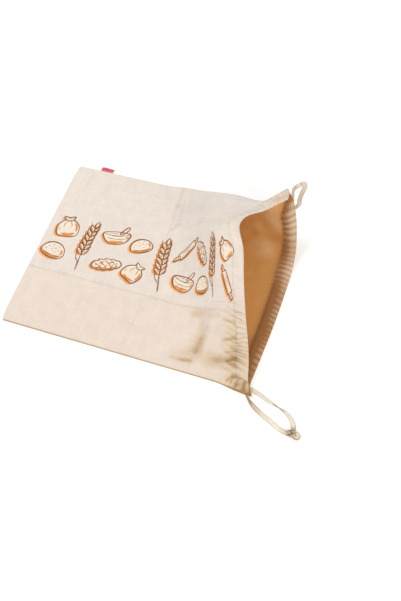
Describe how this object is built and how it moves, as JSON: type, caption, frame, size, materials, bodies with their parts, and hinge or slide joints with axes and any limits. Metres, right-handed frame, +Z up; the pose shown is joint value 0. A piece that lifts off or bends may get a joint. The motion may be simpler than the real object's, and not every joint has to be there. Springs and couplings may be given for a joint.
{
  "type": "linen bread bag",
  "caption": "Flat linen drawstring bag for a loaf, lying on its back with the mouth standing open, pieced printed front, tape ties at both side seams.",
  "frame": {"origin": "centre of the cloth's bounding box in X and Y, on the surface that the bag lies on", "axes": "+X from the closed end to the mouth, +Y from the near side seam to the far one, which holds the tab, +Z up"},
  "size_m": [0.4529, 0.3606, 0.0879],
  "materials": {
    "linen_front": "matt plain-woven linen with a print",
    "linen_back": "matt plain-woven linen",
    "cotton_tape": "matt woven tape",
    "red_ribbon": "satin ribbon"
  },
  "bodies": {
    "root": {"back_panel": "linen_back", "front_lower_panel": "linen_front", "front_upper_panel": "linen_front", "side_tab": "red_ribbon", "near_tape_a": "cotton_tape", "near_tape_b": "cotton_tape", "near_knot": "cotton_tape", "far_tape": "cotton_tape", "far_knot": "cotton_tape"}
  },
  "joints": []
}
